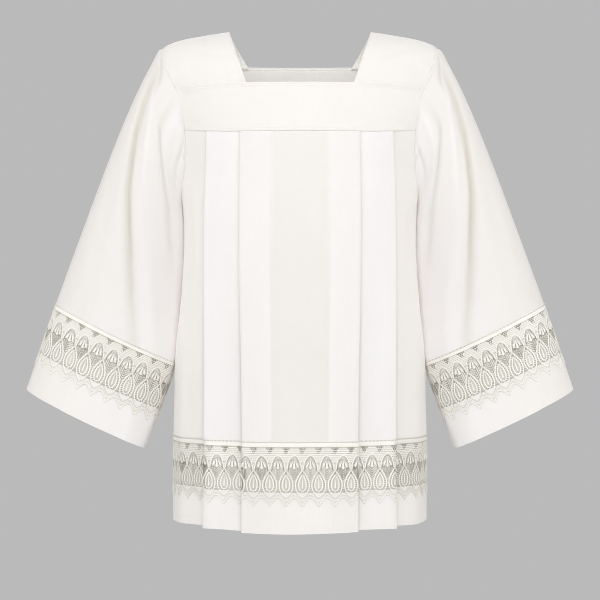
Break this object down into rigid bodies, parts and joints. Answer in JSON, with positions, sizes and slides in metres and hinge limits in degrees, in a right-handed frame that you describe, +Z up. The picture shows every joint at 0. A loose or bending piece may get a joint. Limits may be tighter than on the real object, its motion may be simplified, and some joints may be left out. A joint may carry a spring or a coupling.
{
  "type": "surplice",
  "caption": "Hollow white surplice with a square neck, a banded yoke, pressed pleats, wide open sleeves and lace let in above the hem and cuffs.",
  "frame": {"origin": "between the shoulders, at the height where the two straps rest on them, on the garment's middle plane", "axes": "+Z up, -Y the way the front faces, +X to the wearer's left"},
  "size_m": [0.897, 0.2837, 0.8006],
  "materials": {
    "cloth": "matt white woven cloth, pressed",
    "lace": "white openwork lace"
  },
  "bodies": {
    "root": {"front_yoke": "cloth", "back_yoke": "cloth", "shoulder_strap_left": "cloth", "shoulder_strap_right": "cloth", "front_panel": "cloth", "back_panel": "cloth", "sleeve_left": "cloth", "sleeve_right": "cloth", "lace_front": "lace", "lace_back": "lace", "hem_front": "cloth", "hem_back": "cloth", "sleeve_lace_left_front": "lace", "sleeve_lace_left_back": "lace", "sleeve_lace_right_front": "lace", "sleeve_lace_right_back": "lace", "sleeve_hem_left": "cloth", "sleeve_hem_right": "cloth"}
  },
  "joints": []
}
